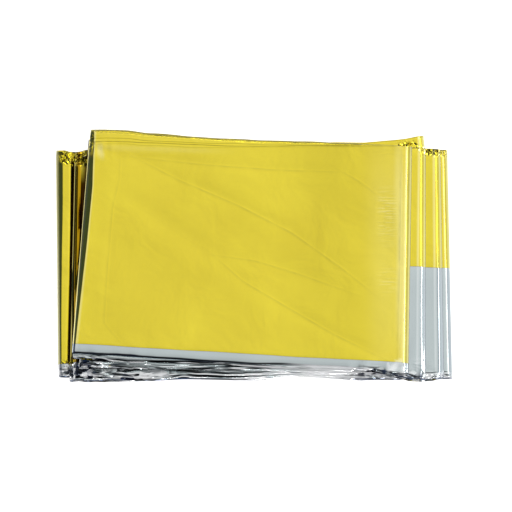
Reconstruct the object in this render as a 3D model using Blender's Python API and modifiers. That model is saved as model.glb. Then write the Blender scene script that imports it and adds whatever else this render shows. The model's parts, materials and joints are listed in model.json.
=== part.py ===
"""Emergency foil blanket, folded.

The blanket is one sheet of thin film, folded back and forth twice. The first folds make a long
strip, many layers deep. The second folds lay that strip back and forth across itself, into a
fanned stack of ten panels. The strip's pressed layers are one slab here, and the slab is bent
round every fold of the second set, so the stack is one back-and-forth section.

+X runs along the panels, +Y across them and +Z up. The stack lies on z = 0, with the origin in
the middle of its underside. Sizes are in metres, angles in degrees.
"""

from collections import namedtuple
from math import cos, exp, hypot, pi, radians, sin

import bpy

# The strip that the first folds make.
STRIP_HEIGHT = 0.0896
STRIP_THICKNESS = 0.0012
LAYER_GAP = 0.0003
PITCH = STRIP_THICKNESS + LAYER_GAP
BEND_RADIUS = PITCH / 2

# A line across the strip: a fold of the second set, or one of the strip's two cut ends. They
# are listed from the end tucked under the top panel down to the loose end of the lowest one.
# x and y are the middle of the stack's outline there, and lean is the line's turn from +Y
# towards +X. side is 1 at the stack's right, -1 at its left and 0 at a cut end. bow is how far
# the middle of the panel that starts at the line is pushed towards +Y.
Line = namedtuple("Line", "side x y lean bow")
LINES = (
    Line(0, 0.0498, -0.0042, 0.6, 0),
    Line(1, 0.0604, -0.0047, 1.2, 0),
    Line(-1, -0.0670, 0.0023, 4.2, 0),
    Line(1, 0.0664, -0.0049, 0.4, 0),
    Line(-1, -0.0656, -0.0011, 1.8, 0),
    Line(1, 0.0729, -0.0045, -0.5, 0),
    Line(-1, -0.0689, -0.0057, 0.5, 0),
    Line(1, 0.0760, -0.0040, -1.1, 0),
    Line(-1, -0.0700, -0.0051, 0.9, -0.0014),
    Line(1, 0.0700, 0.0026, -4.8, -0.0010),
    Line(-1, -0.0758, -0.0032, -0.5, 0),
    Line(0, 0.0640, -0.0036, 0.3, 0),
)
LOWEST_PANEL = len(LINES) - 2

# The top panel climbs over the tucked end between these places.
CLIMB_START_X = 0.034
CLIMB_END_X = 0.047

# The stack is springy: its middle lies a little lower than its rim.
HOLLOW_DEPTH = 0.0005
HALF_LENGTH = 0.075
HALF_WIDTH = 0.050

# The strip's long edges aren't straight. They swing slowly, with a quicker ripple on top.
Wave = namedtuple("Wave", "height length")
EDGE_WAVES = (Wave(0.0004, 0.047), Wave(0.0002, 0.019))

# Crushed corners, where the film is thrown into ridges that run in from the strip's long edge:
# reach is how far they spread, height and length are a ridge's own, and turn is the way from
# one ridge to the next, counted from +X.
Crush = namedtuple("Crush", "x y reach height length turn")
CRUSHES = (
    Crush(-0.068, 0.040, 0.014, 0.00035, 0.0130, -12),
    Crush(-0.058, -0.044, 0.018, 0.00045, 0.0140, 14),
    Crush(-0.030, -0.047, 0.014, 0.00030, 0.0150, -8),
    Crush(0.058, -0.046, 0.014, 0.00035, 0.0140, 10),
    Crush(0.056, 0.041, 0.012, 0.00030, 0.0130, -10),
)

# How finely the slab is divided. Columns stand at the same places in every panel, close
# together near its ends and wider apart inwards. So do the rows, counted from the long edges.
FIRST_STATION_X = 0.0615
STATION_STEP = 0.0036
STATION_GROWTH = 1.12
BEND_STEPS = 5
HALF_ROW_STEPS = 4
ROW_GROWTH = 1.6

FILM_COLOUR = (0.745, 0.617, 0.053, 1.0)
FILM_METALLIC = 0.9
FILM_ROUGHNESS = 0.22

# A column of the slab's middle surface: a straight line across the strip, at height z.
Column = namedtuple("Column", "x y lean z")


def clear_scene():
    for thing in list(bpy.data.objects):
        bpy.data.objects.remove(thing, do_unlink=True)


def smooth_step(value):
    value = min(1.0, max(0.0, value))
    return value * value * (3 - 2 * value)


def stations():
    """Places along X where every panel has a column, from the left to the right."""
    found = [0.0]
    x = FIRST_STATION_X
    step = STATION_STEP
    while x > step / 2:
        found += [x, -x]
        x -= step
        step *= STATION_GROWTH
    return sorted(found)


def row_shares():
    """Rows across the strip, from -0.5 at one long edge to 0.5 at the other."""
    whole = ROW_GROWTH**HALF_ROW_STEPS - 1
    inner = [0.5 - 0.5 * (ROW_GROWTH**step - 1) / whole for step in range(HALF_ROW_STEPS)]
    return [-share for share in inner] + [0.0] + inner[::-1]


def bend_axis(line):
    """The line that the slab turns about, inside the outline by the bend and half a thickness."""
    inset = abs(line.side) * (STRIP_THICKNESS / 2 + BEND_RADIUS)
    return line._replace(x=line.x - line.side * inset)


def panel_level(number, x):
    """Height of a panel's middle. Number 0 is the tucked end, 1 the top panel."""
    level = STRIP_THICKNESS / 2 + (LOWEST_PANEL - max(number, 1)) * PITCH
    if number == 1:
        level += PITCH * smooth_step((x - CLIMB_START_X) / (CLIMB_END_X - CLIMB_START_X))
    return level


def panel_columns(number):
    """Columns of one panel, from the line it starts at to the line it ends at."""
    start = bend_axis(LINES[number])
    end = bend_axis(LINES[number + 1])
    way = 1 if end.x > start.x else -1
    clear = STATION_STEP / 2
    between = [x for x in stations() if (x - start.x) * way > clear and (end.x - x) * way > clear]
    columns = []
    for x in [start.x, *between[::way], end.x]:
        share = (x - start.x) / (end.x - start.x)
        bow = 4 * share * (1 - share) * LINES[number].bow
        y = start.y + share * (end.y - start.y) + bow
        lean = start.lean + share * (end.lean - start.lean)
        columns.append(Column(x, y, lean, panel_level(number, x)))
    return columns


def bend_columns(before, after, side):
    """Columns of a half turn from the end of one panel to the start of the next."""
    middle = (before.z + after.z) / 2
    radius = (before.z - after.z) / 2
    columns = []
    for step in range(1, BEND_STEPS):
        angle = pi * step / BEND_STEPS
        out = abs(radius) * sin(angle)
        columns.append(before._replace(x=before.x + side * out, z=middle + radius * cos(angle)))
    return columns


def strip_columns():
    """Every column of the folded strip, from the tucked end to the loose end."""
    columns = panel_columns(0)
    for number in range(1, LOWEST_PANEL + 1):
        following = panel_columns(number)
        columns += bend_columns(columns[-1], following[0], LINES[number].side)
        columns += following
    return columns


def edge_wave(travel):
    """How far the strip's long edges swing, at this distance along it."""
    return sum(wave.height * sin(2 * pi * travel / wave.length) for wave in EDGE_WAVES)


def ridges(x, y):
    """Height of the crushed corners' ridges."""
    total = 0.0
    for crush in CRUSHES:
        away_x = x - crush.x
        away_y = y - crush.y
        fade = exp(-((hypot(away_x, away_y) / crush.reach) ** 2))
        turn = radians(crush.turn)
        along = away_x * cos(turn) + away_y * sin(turn)
        total += crush.height * fade * cos(2 * pi * along / crush.length)
    return total


def hollow(x, y):
    """How far the springy stack is pressed in, most in its middle."""
    across_x = max(0.0, 1 - (x / HALF_LENGTH) ** 2)
    across_y = max(0.0, 1 - (y / HALF_WIDTH) ** 2)
    return HOLLOW_DEPTH * across_x * across_y


def settle(x, y, z):
    """The unevenness that all panels share. It fades out downwards, so the lowest lies flat."""
    lowest = STRIP_THICKNESS / 2
    share = (z - lowest) / ((LOWEST_PANEL - 1) * PITCH)
    return z + share * (ridges(x, y) - hollow(x, y))


def fold_strip(mesh, columns):
    """Moves the vertices of a flat grid, one column at a time, onto the folded strip."""
    travel = 0.0
    for number, column in enumerate(columns):
        if number > 0:
            last = columns[number - 1]
            travel += hypot(column.x - last.x, column.z - last.z)
        lean = radians(column.lean)
        for row, share in enumerate(row_shares()):
            across = share * STRIP_HEIGHT
            at_edge = (2 * share) ** 4
            x = column.x + across * sin(lean)
            y = column.y + across * cos(lean) + at_edge * edge_wave(travel)
            vertex = mesh.vertices[row * len(columns) + number]
            vertex.co = (x, y, settle(x, y, column.z))


def film_material():
    material = bpy.data.materials.new("gold_film")
    material.use_nodes = True
    shader = material.node_tree.nodes["Principled BSDF"]
    shader.inputs["Base Color"].default_value = FILM_COLOUR
    shader.inputs["Metallic"].default_value = FILM_METALLIC
    shader.inputs["Roughness"].default_value = FILM_ROUGHNESS
    return material


def make_blanket(collection):
    columns = strip_columns()
    bpy.ops.mesh.primitive_grid_add(
        x_subdivisions=len(columns) - 1, y_subdivisions=len(row_shares()) - 1, size=STRIP_HEIGHT
    )
    blanket = bpy.context.object
    blanket.name = "foil_blanket"
    blanket.data.name = "foil_blanket"
    fold_strip(blanket.data, columns)
    blanket.data.shade_smooth()
    blanket.data.materials.append(film_material())

    thicken = blanket.modifiers.new("Strip thickness", "SOLIDIFY")
    thicken.thickness = STRIP_THICKNESS
    thicken.offset = 0

    for owner in list(blanket.users_collection):
        owner.objects.unlink(blanket)
    collection.objects.link(blanket)
    return blanket


def centre_on_origin(blanket):
    """Puts the origin in the middle of the outline."""
    bpy.context.view_layer.update()
    finished = blanket.evaluated_get(bpy.context.evaluated_depsgraph_get())
    corners = finished.bound_box
    middle_x = (min(corner[0] for corner in corners) + max(corner[0] for corner in corners)) / 2
    middle_y = (min(corner[1] for corner in corners) + max(corner[1] for corner in corners)) / 2
    for vertex in blanket.data.vertices:
        vertex.co.x -= middle_x
        vertex.co.y -= middle_y


def main():
    clear_scene()
    collection = bpy.data.collections.new("Emergency foil blanket")
    bpy.context.scene.collection.children.link(collection)
    blanket = make_blanket(collection)
    centre_on_origin(blanket)


main()
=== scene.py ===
# %% [markdown]
# # A folded emergency blanket
#
# The real thing is one sheet of polyester film, 12 thousandths of a millimetre thick, with metal
# laid on it so thinly that it weighs nothing. One side is gold and the other silver. A machine
# folds it back and forth into a long strip, and then folds that strip back and forth into a
# small stack. This lesson makes it in the same way: a flat sheet, cut to its true size, is
# folded twice by a few lines of arithmetic, and then creased and crumpled.
#
# The first cell loads the solid model that the film has to fit. Its box is kept for centring the
# film, and everything is deselected, because an operator acts on whatever is selected.

import json
from collections import namedtuple
from math import radians

import bpy
import numpy as np
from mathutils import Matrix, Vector

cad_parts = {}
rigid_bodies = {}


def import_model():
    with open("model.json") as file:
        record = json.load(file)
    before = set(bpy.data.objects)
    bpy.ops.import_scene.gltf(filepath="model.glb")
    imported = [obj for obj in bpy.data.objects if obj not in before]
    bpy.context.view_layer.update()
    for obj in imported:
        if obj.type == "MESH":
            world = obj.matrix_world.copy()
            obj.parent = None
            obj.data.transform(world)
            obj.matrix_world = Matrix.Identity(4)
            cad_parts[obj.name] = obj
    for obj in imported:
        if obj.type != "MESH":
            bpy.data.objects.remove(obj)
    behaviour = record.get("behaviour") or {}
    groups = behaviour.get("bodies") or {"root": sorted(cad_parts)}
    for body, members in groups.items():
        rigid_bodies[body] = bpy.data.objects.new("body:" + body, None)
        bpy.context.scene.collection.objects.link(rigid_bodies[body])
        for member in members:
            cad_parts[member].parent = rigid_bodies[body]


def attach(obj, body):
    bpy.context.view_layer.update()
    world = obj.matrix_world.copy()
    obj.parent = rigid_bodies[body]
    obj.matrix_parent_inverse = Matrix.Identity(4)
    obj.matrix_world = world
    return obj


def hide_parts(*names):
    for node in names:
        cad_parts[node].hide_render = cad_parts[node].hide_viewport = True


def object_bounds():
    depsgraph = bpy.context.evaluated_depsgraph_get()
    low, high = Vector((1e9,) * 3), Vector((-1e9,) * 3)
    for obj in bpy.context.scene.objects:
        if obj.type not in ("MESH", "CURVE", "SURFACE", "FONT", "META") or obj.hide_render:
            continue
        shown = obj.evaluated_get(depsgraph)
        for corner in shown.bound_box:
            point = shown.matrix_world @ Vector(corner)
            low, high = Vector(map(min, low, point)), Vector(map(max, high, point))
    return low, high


for thing in list(bpy.data.objects):
    bpy.data.objects.remove(thing, do_unlink=True)
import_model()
cad_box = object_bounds()
bpy.ops.object.select_all(action="DESELECT")
print("The solid model's box:", [tuple(round(v, 4) for v in corner) for corner in cad_box])

# %% [markdown]
# ## The two sets of folds
#
# The sheet is 1.4 m by 2.1 m. The first folds lie 89.6 mm apart and give a strip 24 layers deep.
# The second folds cross the strip at the lines in the table, from the end tucked under the top
# panel down to the loose end of the lowest one. It is the place to change the stack's look.
# Sizes are in metres here and below, unless the text says otherwise.
#
# - side is 1 at the stack's right, -1 at its left and 0 at a cut end of the strip.
# - x and y are the middle of the outline there, and lean is its turn from +Y, in degrees.
# - bow is how far the panel's middle is pushed towards +Y.
# - fan is the share of their full steps by which the strip's upper folds stand apart, and droop
#   is how far the fold hangs down.
# - band is the width of silver left bare below the gold film in front.
# - slope is the width, in millimetres, of the slope down to the fold, at five places from the
#   strip's lower edge to its upper one. A cut end has none.

# %% The folds' table
SHEET_LENGTH = 1.4
SHEET_WIDTH = 2.1
STRIP_HEIGHT = 0.0896
STRIP_THICKNESS = 0.0012
PANEL_PITCH = 0.0015

Line = namedtuple("Line", "side x y lean bow fan droop band slope")
LINES = (
    Line(0, 0.0498, -0.0042, 0.6, 0, 0.0, 0, 0.0039, ()),
    Line(1, 0.0604, -0.0047, 1.2, 0, 0.0, 0.0003, 0.0043, (2.4, 2.4, 2.4, 2.4, 2.4)),
    Line(-1, -0.0666, 0.0023, 4.2, 0, 1.0, 0, 0.0050, (0.25, 1.1, 2.1, 2.5, 1.1)),
    Line(1, 0.0664, -0.0049, 0.4, 0, 0.35, 0, 0.0048, (2.8, 2.8, 2.6, 2.4, 2.0)),
    Line(-1, -0.0656, -0.0011, 1.8, 0, 0.5, 0, 0.0062, (0.8, 0.8, 0.8, 0.8, 0.8)),
    Line(1, 0.0729, -0.0045, -0.5, 0, 0.3, 0, 0.0054, (2.8, 2.8, 2.6, 2.4, 2.0)),
    Line(-1, -0.0691, -0.0057, 0.5, 0, 0.45, 0, 0.0070, (0.3, 0.3, 0.3, 0.3, 0.3)),
    Line(1, 0.0760, -0.0040, -0.8, 0, 0.25, 0, 0.0058, (1.8, 1.8, 1.8, 1.8, 1.8)),
    Line(-1, -0.0703, -0.0051, 0.9, -0.0014, 0.4, 0, 0.0064, (0.5, 0.5, 0.5, 0.5, 0.5)),
    Line(1, 0.0700, 0.0026, -4.8, -0.0010, 0.2, 0, 0.0062, (2.4, 2.4, 2.4, 2.4, 2.4)),
    Line(-1, -0.0762, -0.0032, -1.0, 0, 0.3, 0, 0.0049, (0.4, 0.6, 1.2, 2.1, 2.4)),
    Line(0, 0.0640, -0.0036, 0.3, 0, 0.2, 0, 0.0063, ()),
)
LOWEST_PANEL = len(LINES) - 2
LAYERS = 24
print(LAYERS, "layers in the strip and", LOWEST_PANEL, "panels in the stack")

# %% [markdown]
# ## Where the rows of the sheet lie in the strip
#
# A row of the sheet's mesh runs along the strip. Each one is given by its layer, by how far it
# is from that layer's lower end to its upper end, by a small offset from that place, and by its
# height in the strip's thickness, from 0.5 at the front to -0.5 at the back. The front and back
# layers show, so they have many rows. The hidden layers have a few each, most of them near
# their folds. The front film ends 4 to 7 mm above the lower folds, where a silver band shows,
# and the back film ends half way up.

# %% Rows of the strip
BACK_SHORT_OF_FOLD = 0.0426
FRONT_ROWS = 42
BACK_ROWS = 10
CROWDING = 0.62
OUTER_LEVEL = 0.50
EDGE_LEVEL = 0.47
INNER_LEVEL = 0.36

Row = namedtuple("Row", "layer up offset level")


def layer_level(layer):
    """Height of a layer in the strip. The outer films stand off the rest."""
    if layer == 0:
        return OUTER_LEVEL
    if layer == LAYERS - 1:
        return -OUTER_LEVEL
    return INNER_LEVEL * (1 - 2 * (layer - 1) / (LAYERS - 3))


def even_rows(layer, count, upwards):
    """Rows of a layer that shows. They crowd together near its ends."""
    rows = []
    for number in range(count):
        share = (number + 0.5) / count
        share = share - CROWDING * np.sin(2 * np.pi * share) / (2 * np.pi)
        rows.append(Row(layer, share if upwards else 1 - share, 0.0, layer_level(layer)))
    return rows


print("The first hidden layer lies at level", round(layer_level(1), 2))

# %% [markdown]
# ## Rows of the hidden layers
#
# The layers next to the front and back films show at the lower folds. Each ends there in a thin
# rounded nose, so its first rows climb to its own level in four short steps. They also hold the
# outer films up, so they get a few rows more. All the others lie flat in between, sunk into the
# middle of the strip, and need hardly any. The upper folds of the first ten layers stand apart
# like steps, so each has one more row, and every upper fold hangs a little below its layers.
#
# The tables give offsets from a fold, each with the share of the layer's level that it has there.

# %% Rows of the hidden layers
NOSE = ((0.00014, 0.30), (0.00032, 0.58), (0.00055, 0.82), (0.0010, 1.0))
ABOVE_NOSE = {
    1: ((0.0024, 1.0), (0.0042, 1.0), (0.0068, 0.8), (0.0090, 0.0)),
    2: ((0.0068, 0.8), (0.0090, 0.0)),
    LAYERS - 3: ((0.0062, 0.0),),
    LAYERS - 2: ((0.0032, 1.0), (0.009, 1.0), (0.018, 1.0), (0.027, 1.0), (0.036, 1.0),
                 (0.045, 1.0), (0.048, 0.0)),
}
BELOW_OUTER_FILMS = ((0.0120, 0.2), (0.0080, 0.6), (0.0050, 0.85))
BELOW_FOLD = 0.0006
BELOW_STEPPED_FOLD = 0.0024
STEPPED_LAYERS = 10
MIDDLE_ROW = 0.6
SUNK = 0.3
FOLD_RISE = 0.06
TOP_DROOPS = (0.03, 0.05, 0.07, 0.12, 0.20, 0.06)


def hidden_rows(layer):
    """Rows of a layer between its folds, from the lower one to the upper one."""
    level = layer_level(layer)
    lower = NOSE + ABOVE_NOSE[layer] if layer in ABOVE_NOSE else ()
    rows = [Row(layer, 0.0, offset, share * level) for offset, share in lower]
    rows.append(Row(layer, MIDDLE_ROW, 0.0, 0.0 if layer in ABOVE_NOSE else SUNK * level))
    if layer in (1, LAYERS - 2):
        rows += [Row(layer, 1.0, -offset, share * level) for offset, share in BELOW_OUTER_FILMS]
    if layer < STEPPED_LAYERS:
        rows.append(Row(layer, 1.0, -BELOW_STEPPED_FOLD, level))
    rows.append(Row(layer, 1.0, -BELOW_FOLD, level))
    return rows


def fold_level(layer):
    """Level of the fold between this layer and the one before it."""
    if layer % 2 == 1:
        level = min(layer_level(layer - 1), INNER_LEVEL + FOLD_RISE)
        return level - TOP_DROOPS[min(layer // 2, len(TOP_DROOPS) - 1)]
    return 0.0 if layer in ABOVE_NOSE else SUNK * layer_level(layer)


def strip_rows():
    """Every row, from the front film's lower end to the back film's."""
    rows = [Row(0, 0.0, 0.0, EDGE_LEVEL)]
    rows += even_rows(0, FRONT_ROWS, True)
    rows.append(Row(0, 1.0, -BELOW_FOLD, EDGE_LEVEL))
    for layer in range(1, LAYERS):
        downwards = layer % 2 == 1
        rows.append(Row(layer, 1.0 if downwards else 0.0, 0.0, fold_level(layer)))
        if layer == LAYERS - 1:
            rows.append(Row(layer, 1.0, -BELOW_FOLD, -EDGE_LEVEL))
            rows += even_rows(layer, BACK_ROWS, False)
            rows.append(Row(layer, 0.0, 0.0, -EDGE_LEVEL))
        else:
            between = hidden_rows(layer)
            rows += between[::-1] if downwards else between
    return rows


ROWS = strip_rows()
print(len(ROWS), "rows")

# %% [markdown]
# ## Where the columns lie in the stack
#
# A column of the mesh runs across the strip. The columns follow the second set of folds: along
# one panel, round a half turn, and back along the next. They stand closer together near the
# panels' ends, where the film shows and is crumpled. Near a fold the layers are pinched
# together, so the stack slopes down to each fold as pressed film does.

# %% Columns of the stack
PINCH_RADIUS = 0.00026
PINCH_PRESS = 0.34
TUCK_PRESS = 0.5
FULL_SLOPE = 0.0022
SLOPE_SHARES = (0.0, 0.25, 0.5, 0.75, 1.0)
ZONE = 0.0044
LEFT_ZONE = (0.0, 0.45, 0.9, 1.0, 1.12, 1.5, 2.0)
RIGHT_ZONE = (0.0, 0.25, 0.5, 0.75, 1.0, 1.5, 2.0)
BEND_COLUMNS = 5
TOP_PANEL_STEP = 0.0016
FINE_STEP = 0.00055
COVERED_STEP = 3.4 * FINE_STEP
NEAR_STEP = 0.0018
FAR_STEP = 0.0100
TOP_PANEL_RIM = 0.006
SHOWN_LEFT = 0.0105
NEAR_LEFT = 0.027
NEAR_RIGHT = 0.022
CLIMB = 0.0009
CLIMB_START_X = 0.008
CLIMB_END_X = 0.049

Column = namedtuple("Column", "panel x fold place angle")


def smooth_step(value):
    """A soft step from 0 to 1."""
    value = np.clip(value, 0.0, 1.0)
    return value * value * (3 - 2 * value)


def panel_level(number, x):
    """Height of a panel's middle. Number 0 is the tucked end, 1 the top panel."""
    level = STRIP_THICKNESS / 2 + (LOWEST_PANEL - np.maximum(number, 1)) * PANEL_PITCH
    climb = CLIMB * smooth_step((x - CLIMB_START_X) / (CLIMB_END_X - CLIMB_START_X))
    sunk = 0.5 * (1 - TUCK_PRESS) * STRIP_THICKNESS
    return level + np.where(number == 1, climb, 0.0) - np.where(number == 0, sunk, 0.0)


print("The top panel lies at", round(float(panel_level(1, 0.0)) * 1000, 2), "mm")

# %% [markdown]
# ## Columns of panels and of half turns
#
# The columns next to a fold are counted by place: 0 at the fold, 1 where the slope meets the
# flat of the panel and 2 where the plain part begins. Columns crowd together on the strips of
# each panel that the ones above leave in view.

# %% Columns of panels and of half turns
def zone_columns(number, fold):
    """Columns of a panel's slope next to a fold, from the fold inwards."""
    line = LINES[fold]
    if line.side == 0:
        return [Column(number, line.x, -1, 2.0, 0.0)]
    places = LEFT_ZONE if line.side < 0 else RIGHT_ZONE
    return [
        Column(number, line.x - line.side * ZONE * place / 2, fold, place, 0.0) for place in places
    ]


def inner_step(number, from_left, from_right):
    """Step between a panel's columns. They crowd where that panel shows."""
    if number == 1:
        return 0.5 * TOP_PANEL_STEP if from_left < TOP_PANEL_RIM else TOP_PANEL_STEP
    if from_left < SHOWN_LEFT:
        return FINE_STEP if number % 2 == 1 and number > 3 else COVERED_STEP
    if from_left < NEAR_LEFT:
        return NEAR_STEP
    if from_right < NEAR_RIGHT:
        return NEAR_STEP if number % 2 == 0 else 2 * NEAR_STEP
    return min(FAR_STEP, from_right - NEAR_RIGHT + NEAR_STEP)


def inner_places(number, left, right):
    """Places of a panel's columns between the slopes at its two ends."""
    places = []
    x = left
    while True:
        x += inner_step(number, x - left, right - x)
        if x > right - 0.4 * NEAR_STEP:
            return places
        places.append(x)


def panel_columns(number):
    """Columns of one panel, from the line it starts at to the one it ends at."""
    before, after = zone_columns(number, number), zone_columns(number, number + 1)
    start, end = before[-1].x, after[-1].x
    places = inner_places(number, min(start, end), max(start, end))
    if start > end:
        places = places[::-1]
    return before + [Column(number, x, -1, 2.0, 0.0) for x in places] + after[::-1]


def bend_columns(fold):
    """Columns of the half turn at a fold. The angle is counted from the upper panel."""
    columns = []
    for step in range(1, BEND_COLUMNS + 1):
        angle = np.pi * step / (BEND_COLUMNS + 1)
        angle = angle if fold > 1 else np.pi - angle
        columns.append(Column(fold - 0.5, LINES[fold].x, fold, 0.0, angle))
    return columns


def stack_columns():
    """Every column, from the tucked end down to the loose end."""
    columns = panel_columns(0)
    for number in range(1, LOWEST_PANEL + 1):
        columns += bend_columns(number)
        columns += panel_columns(number)
    return columns


COLUMNS = stack_columns()
print(len(COLUMNS), "columns, so", 2 * (len(COLUMNS) - 1) * (len(ROWS) - 1), "triangles")

# %% [markdown]
# ## The staggered folds
#
# Film slides as it is folded, so the folds of the strip's upper edge don't lie exactly under each
# other. At the left end of the top panel the first four stand well apart, like steps, and they
# run together at its right end. The lower folds are only a little uneven, and each of them
# wanders slowly along the strip.

# %% Staggered folds
TOP_STEPS = (
    0.0060, 0.0047, 0.0034, 0.0020, 0.0006, 0.0003, 0.0001, 0.0002, 0.0, 0.0003, 0.0, 0.0002
)
LOWER_STEPS = (
    0.0, 0.0011, 0.0008, 0.0012, 0.0009, 0.0007, 0.0011, 0.0008, 0.0012, 0.0009, 0.0001
)
WANDER = 0.00025
WANDER_LENGTH = 0.055


def wander(travel, seed):
    """A slow sideways swing along the strip, different for every seed."""
    phase = 2.4 * seed
    slow = np.sin(2 * np.pi * travel / WANDER_LENGTH + phase)
    quick = np.sin(2 * np.pi * travel / (0.37 * WANDER_LENGTH) + 1.7 * phase)
    return WANDER * (slow + 0.5 * quick)


print("Steps of the first four upper folds:", [step * 1000 for step in TOP_STEPS[:4]], "mm")

# %% [markdown]
# ## Swings of the strip's edges
#
# Where the stack has been squeezed, a stretch of its edge is pushed in or out. A swing moves
# the edge by its depth, over its reach on each side of x, in the panels between first and last.
# Its flat-topped shape keeps the middle of the stretch straight and lets its ends run out softly.

# %% Swings of the strip's edges
Swing = namedtuple("Swing", "x reach depth first last")
TOP_SWINGS = (
    Swing(-0.0100, 0.0230, 0.0005, 0.5, 2.5),
    Swing(-0.0555, 0.0080, -0.0005, 0.5, 2.5),
    Swing(0.0510, 0.0160, 0.0010, 7.5, 9.5),
    Swing(-0.0680, 0.0035, 0.0008, 4.5, 8.5),
    Swing(-0.0690, 0.0030, 0.0006, 8.6, 10.5),
)
FOOT_SWINGS = (
    Swing(-0.0550, 0.0550, -0.0019, 0.5, 1.6),
    Swing(0.0250, 0.0200, -0.0018, 0.5, 1.6),
    Swing(-0.0550, 0.0220, 0.0012, 1.6, 2.4),
    Swing(0.0640, 0.0085, 0.0027, 1.6, 4.4),
    Swing(0.0740, 0.0060, 0.0011, 5.5, 8.5),
    Swing(0.0610, 0.0090, 0.0012, 4.6, 6.4),
    Swing(-0.0600, 0.0060, 0.0004, 4.5, 8.5),
    Swing(0.0170, 0.0090, -0.0008, 4.5, 10.5),
    Swing(-0.0030, 0.0100, 0.0010, 4.5, 10.5),
    Swing(0.0440, 0.0130, 0.0013, 4.5, 10.5),
    Swing(-0.0480, 0.0160, 0.0006, 4.5, 10.5),
)


def swing(swings, x, panel):
    """How far the strip's edge is moved towards -Y at each column."""
    total = np.zeros(x.shape)
    for one in swings:
        here = (panel > one.first) & (panel < one.last)
        total += np.where(here, one.depth * np.exp(-(((x - one.x) / one.reach) ** 4)), 0.0)
    return total


def layer_top(layer, fan, travel, moved):
    """Where a layer ends upwards, counted from the middle of the strip."""
    fold = layer // 2
    return STRIP_HEIGHT / 2 - TOP_STEPS[fold] * fan + 0.5 * wander(travel, fold) - moved


def layer_foot(layer, band, travel, moved):
    """Where a layer ends downwards, counted from the middle of the strip."""
    if layer == 0:
        return -STRIP_HEIGHT / 2 + band + 0.3 * wander(travel, 31)
    if layer == LAYERS - 1:
        return -STRIP_HEIGHT / 2 + BACK_SHORT_OF_FOLD + 0.6 * wander(travel, 37)
    fold = (layer - 1) // 2
    uneven = 0.6 * wander(travel, fold + 13) - moved * (0.6 + 0.4 * (fold % 2))
    return -STRIP_HEIGHT / 2 + LOWER_STEPS[fold] + uneven


print(len(TOP_SWINGS), "swings at the top and", len(FOOT_SWINGS), "at the bottom")

# %% [markdown]
# ## Folding the sheet
#
# Everything so far was only a plan. Here the plan becomes places: a grid of points, one for
# each row and column, that runs through all 24 layers of all the panels without a break.
#
# Near a fold the panel runs down a slope, where its layers are pressed together. A slope at the
# stack's right curves and one at its left is straight. The bends at the left are pressed flatter
# than a half circle, to the share given for each fold.

# %% Folding
FLATTENED_FOLDS = {2: 0.5, 4: 0.4, 6: 0.4, 8: 0.4, 10: 0.7}


def column_values(name):
    """One value of every column, such as its place along X."""
    return np.array([getattr(column, name) for column in COLUMNS])


def line_values(name, numbers):
    """One value of the lines with these numbers in the folds' table."""
    return np.array([getattr(line, name) for line in LINES])[numbers]


PANEL, NOMINAL_X = column_values("panel"), column_values("x")
FOLD, PLACE, ANGLE = column_values("fold"), column_values("place"), column_values("angle")
BEND = PANEL % 1 > 0
FLAT = np.where(BEND, 0, PANEL).astype(int)
SIDE = np.where(FOLD < 0, 0, line_values("side", FOLD))
OUTLINE_X = line_values("x", FOLD)


def slope_width(up):
    """Width of the slope next to each column's fold, at this share of the strip's height."""
    width = np.full(len(COLUMNS), 1.0)
    for number, line in enumerate(LINES):
        if line.side != 0:
            here = FOLD == number
            width[here] = np.interp(up[here], SLOPE_SHARES, line.slope)
    return width * 0.001


FLATTENED = np.ones(len(COLUMNS))
for fold, share in FLATTENED_FOLDS.items():
    FLATTENED[FOLD == fold] = share
print(int((FLATTENED < 1).sum()), "of", len(COLUMNS), "columns lie beside a flattened bend")

# %% [markdown]
# ## The middle of the strip
#
# This is the heart of the folding. For every column it finds where the middle of the strip
# lies, how much the layers are pressed together there, and which way they are stacked.

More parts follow.
